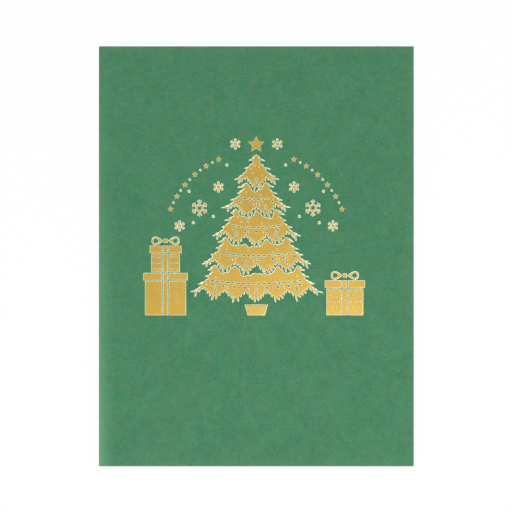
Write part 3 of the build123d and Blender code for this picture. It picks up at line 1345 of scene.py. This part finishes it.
@dataclass
class Gift:
    """One wrapped box with a lid, a ribbon and a bow, as wide as its lid."""

    x: float
    low: float
    width: float
    height: float
    wrap: Wrap
    has_bow: bool = True
    gap: float = 0.5
    lid_height: float = 3.4
    lid_overhang: float = 0.8
    ribbon: float = 2.2
    bow_reach: float = 5.2
    bow_height: float = 1.9
    bow_fullness: float = 1.3
    bow_wall: float = 0.8
    bow_steps: int = 24
    knot_half: float = 0.9
    wrap_pitch: float = 2.7
    wrap_margin: float = 0.9
    dot_radius: float = 0.36
    stripe_width: float = 0.4

    def row(self, low: float, high: float, half: float, wrap: Wrap) -> list[FlatShape]:
        """Two panels with the ribbon between them.

        Args:
            low: Lower edge.
            high: Upper edge.
            half: Half width of the row.
            wrap: What is left bare in the panels.

        Returns:
            Left panel, ribbon and right panel.
        """
        inner = self.ribbon / 2 + self.gap
        panels = []
        for side in Side:
            left, right = sorted((side.value * inner, side.value * half))
            edges = self.x + left, low, self.x + right, high
            panels.append(FlatShape(rectangle(*edges), tuple(self.bare(wrap, edges))))
        band = rectangle(self.x - self.ribbon / 2, low, self.x + self.ribbon / 2, high)
        return [panels[0], FlatShape(band), panels[1]]

    def bare(self, wrap: Wrap, edges: Edges) -> list[Outline]:
        """Dots or stripes left bare in one panel.

        Args:
            wrap: Pattern of the wrapping paper.
            edges: Left, low, right and high edge of the panel.

        Returns:
            Outlines of the bare places.
        """
        left, low, right, high = edges
        columns = max(1, round((right - left) / self.wrap_pitch))
        rows = max(1, round((high - low) / self.wrap_pitch))
        width, height = (right - left) / columns, (high - low) / rows
        first, last = left + self.wrap_margin, right - self.wrap_margin
        places = []
        for row in range(rows):
            y = low + (row + 0.5) * height
            if wrap is Wrap.STRIPES:
                half = self.stripe_width / 2
                places.append(rectangle(first, y - half, last, y + half))
            elif wrap is Wrap.DOTS:
                shift = 0 if row % 2 else 0.5
                xs = [left + (column + shift) * width for column in range(columns + row % 2)]
                places += [
                    disc((x, y), self.dot_radius, SMALL_DISC_CORNERS)
                    for x in xs
                    if first < x < last
                ]
        return places

    def loop(self, side: Side, middle: float, wall: float) -> Outline:
        """Outer or inner edge of one loop of the bow.

        Args:
            side: Side of the knot.
            middle: Height of the knot's middle.
            wall: Width of ribbon round the edge, which is zero for the outer one.

        Returns:
            Points round the loop from its root.
        """
        root = self.knot_half + self.gap + 2 * wall
        reach = self.bow_reach - 3 * wall
        full = self.bow_height * self.bow_fullness - wall
        line = []
        for index in range(self.bow_steps):
            turn = 2 * pi * index / self.bow_steps
            x = root + reach * (1 - cos(turn)) / 2
            line.append((self.x + side.value * x, middle + full * sin(turn) * sin(turn / 2)))
        return line

    def bow(self, low: float) -> list[FlatShape]:
        """Two hollow loops beside a knot.

        Args:
            low: Height at which the bow rests.

        Returns:
            Left loop, knot and right loop.
        """
        middle = low + self.bow_height
        loops = [
            FlatShape(self.loop(side, middle, 0), (self.loop(side, middle, self.bow_wall),))
            for side in Side
        ]
        knot = ring((self.x, middle), [self.knot_half * sqrt(2)] * 4, start=45)
        return [loops[0], FlatShape(knot), loops[1]]

    def shapes(self) -> list[FlatShape]:
        """Body, lid and bow.

        Returns:
            Shapes of the gift from its foot up.
        """
        lid_low = self.low + self.height - self.lid_height
        lid_top = self.low + self.height
        half = self.width / 2
        shapes = self.row(self.low, lid_low - self.gap, half - self.lid_overhang, self.wrap)
        shapes += self.row(lid_low, lid_top, half, Wrap.PLAIN)
        if self.has_bow:
            shapes += self.bow(lid_top + self.gap)
        return shapes


@dataclass
class Gifts(FoilPiece):
    """Foil gifts that stand on both sides of the tree."""

    name: str = "gifts_foil"
    node: str = "foil_gifts"
    low_box: Point = (21.0, 20.0)
    top_box: Point = (15.0, 12.5)
    right_box: Point = (19.0, 16.5)
    gap: float = 0.5

    def shapes(self) -> list[FlatShape]:
        """A stack of two gifts on the left and one on the right.

        Returns:
            Shapes of all three gifts.
        """
        stack_x = self.left + self.low_box[0] / 2
        right_x = self.right - self.right_box[0] / 2
        top_low = self.base + self.low_box[1] + self.gap
        low = Gift(stack_x, self.base, *self.low_box, wrap=Wrap.PLAIN, has_bow=False)
        top = Gift(stack_x, top_low, *self.top_box, wrap=Wrap.STRIPES)
        right = Gift(right_x, self.base, *self.right_box, wrap=Wrap.DOTS)
        return [*low.shapes(), *top.shapes(), *right.shapes()]


@dataclass
class CardStock:
    """Finishes of the card's own sheets, which keep the shape of the frame's nodes."""

    cover: DyedCard = DyedCard(
        name="dyed_green_card",
        body="#56926b",
        shade="#3d7754",
        fibre="#a6cbb2",
        # The fold colour is a painted highlight. The pale edges are wear from handling.
        fold_highlight="#a0e8b6",
        handled="#ead9c6",
        rub_share=0.027,
        fold_highlight_share=0.24,
    )
    liner: DyedCard = DyedCard(
        name="ivory_liner_card", body="#f0ecdf", shade="#e6e0cf", fibre="#faf8f0"
    )
    fir: DyedCard = DyedCard(
        name="dyed_fir_paper", body="#4d8a60", shade="#3c7450", fibre="#93bba0"
    )

    def finish_of(self, name: str) -> DyedCard | None:
        """Finish of one node.

        Args:
            name: Name of the node.

        Returns:
            The finish, or None where the node isn't a sheet of the card.
        """
        if name.startswith(FOIL_NODES):
            return None
        if name.startswith(FIR_NODES):
            return self.fir
        return self.cover if name == "cover" else self.liner

    def dress_sheets(self) -> dict[str, str]:
        """Give every sheet of the frame its finish.

        Returns:
            Name of each sheet with the name of its finish.
        """
        dressed = {}
        for name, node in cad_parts.items():
            finish = self.finish_of(name)
            if finish:
                dress(node, bpy.data.materials.get(finish.name) or finish.build())
                dressed[name] = finish.name
        return dressed


@dataclass
class FoilStock:
    """Finishes of the gold foil, and of its raised rim, whose pale colour is a painted highlight.
    """

    face: StampedFoil = StampedFoil(
        name="stamped_gold_foil", colour="#c3a24f", worn_colour="#b49443", roughness=0.3
    )
    # Painted highlight: the rim is the same gold foil, made pale cream to stand in for the light
    # its edge catches.
    rim: StampedFoil = StampedFoil(
        name="foil_rim_highlight", colour="#f1f8e4", worn_colour="#e5edd0", roughness=0.25
    )

    def load_die(self) -> FoilDie:
        """Dress the foil nodes, and load a die with both finishes.

        Returns:
            Die that stamps on the face of the front cover.
        """
        face = self.face.build()
        for name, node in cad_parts.items():
            if name.startswith(FOIL_NODES):
                dress(node, face)
        return FoilDie(face=face, rim=self.rim.build(), face_z=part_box("foil_tree")[0][2])


@dataclass(frozen=True)
class Panel:
    """Soft light panel that faces the card, with its place and size in metres."""

    name: str
    place: tuple[float, float, float]
    size: Point
    watts: float

    def hang(self) -> None:
        """Add the panel, out of the camera's sight."""
        data = bpy.data.lights.new(self.name, "AREA")
        data.shape = "RECTANGLE"
        data.size, data.size_y = self.size
        data.energy = self.watts
        panel = bpy.data.objects.new(self.name, data)
        panel.location = self.place
        panel.rotation_euler = (-Vector(self.place)).to_track_quat("-Z", "Y").to_euler()
        panel.visible_camera = False
        bpy.context.collection.objects.link(panel)


@dataclass
class Studio:
    """White floor, soft lights and a camera that looks straight down on the card."""

    # Width that the photograph shows, by the card's own width in it
    frame_width_mm: float = 243.8
    centre_mm: Point = (-0.12, 0.14)
    distance: float = 1.5
    sensor_mm: float = 36.0
    clip_start: float = 0.01
    world_strength: float = 0.672
    floor_size: float = 6.0
    floor_glow: float = 0.93
    panels: tuple[Panel, ...] = (
        Panel("left_panel", (-0.46, -0.40, 0.36), (0.8, 0.7), 0.9),
        Panel("right_panel", (0.44, -0.46, 0.38), (0.9, 0.75), 1.3),
        Panel("window_panel", (0.32, -0.50, 0.70), (1.0, 0.9), 1.2),
        Panel("overhead_panel", (0.04, -0.12, 0.45), (0.1, 0.1), 0.17),
    )

    def build(self) -> None:
        """Set the camera, the floor, the world and the lights."""
        self.set_camera()
        self.add_floor()
        self.set_world()
        for panel in self.panels:
            panel.hang()

    def set_camera(self) -> None:
        """Place a long lens over the card so that the frame has the photograph's width."""
        data = bpy.data.cameras.new("camera")
        data.sensor_width = self.sensor_mm
        data.lens = self.sensor_mm * self.distance / (self.frame_width_mm * MM)
        data.clip_start = self.clip_start
        camera = bpy.data.objects.new("camera", data)
        x, y = self.centre_mm
        camera.location = (x * MM, y * MM, CAD_BOX[1][2] + self.distance)
        bpy.context.collection.objects.link(camera)
        bpy.context.scene.camera = camera

    def seen_share(self, tree: Tree) -> Socket:
        """Share of a surface's own white that a ray meets.

        Args:
            tree: Node tree of the floor or the world.

        Returns:
            One for rays from the camera, off gloss and through glass, and zero for the rest.
        """
        path = add_node(tree, "LightPath")
        share = path.outputs["Is Camera Ray"]
        for name in ("Is Glossy Ray", "Is Transmission Ray"):
            values = {0: share, 1: path.outputs[name]}
            share = add_node(tree, "Math", values, operation="MAXIMUM").outputs[0]
        return share

    def add_floor(self) -> None:
        """Lay a white floor that keeps a soft shadow."""
        bpy.ops.mesh.primitive_plane_add(size=self.floor_size, location=(0, 0, 0))
        floor = bpy.context.view_layer.objects.active
        floor.name = "floor"
        material, tree = new_material("white_floor")
        matte = add_node(tree, "BsdfDiffuse", {"Color": linear(WHITE)})
        glow = add_node(tree, "Emission", {"Strength": 1.0})
        values = {0: self.seen_share(tree), 1: self.floor_glow}
        share = add_node(tree, "Math", values, operation="MULTIPLY")
        mixed = add_node(
            tree, "MixShader", {0: share.outputs[0], 1: matte.outputs[0], 2: glow.outputs[0]}
        )
        add_node(tree, "OutputMaterial", {"Surface": mixed.outputs[0]})
        dress(floor, material)

    def set_world(self) -> None:
        """Surround the card with white, dimmer for the light that falls on it."""
        world = bpy.data.worlds.new("white_world")
        world.use_nodes = True
        tree = world.node_tree
        tree.nodes.clear()
        ends = {"To Min": self.world_strength, "To Max": 1.0}
        strength = add_node(tree, "MapRange", {"Value": self.seen_share(tree), **ends})
        background = add_node(
            tree, "Background", {"Color": linear(WHITE), "Strength": strength.outputs[0]}
        )
        add_node(tree, "OutputWorld", {"Surface": background.outputs[0]})
        bpy.context.scene.world = world


def main() -> None:
    """Build the studio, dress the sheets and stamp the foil."""
    logging.basicConfig(level=logging.INFO, format="%(name)s: %(message)s")
    bpy.context.scene.view_settings.view_transform = "Standard"
    Studio().build()
    for name, finish in CardStock().dress_sheets().items():
        LOG.info("dressed %s in %s", name, finish)
    die = FoilStock().load_die()
    for piece in (FirTree(), TopStar(), StarStrings(), Snow(), Gifts()):
        stamped = piece.build(die)
        LOG.info("stamped %s with %d faces", stamped.name, len(stamped.data.polygons))


if __name__ == "__main__":
    main()
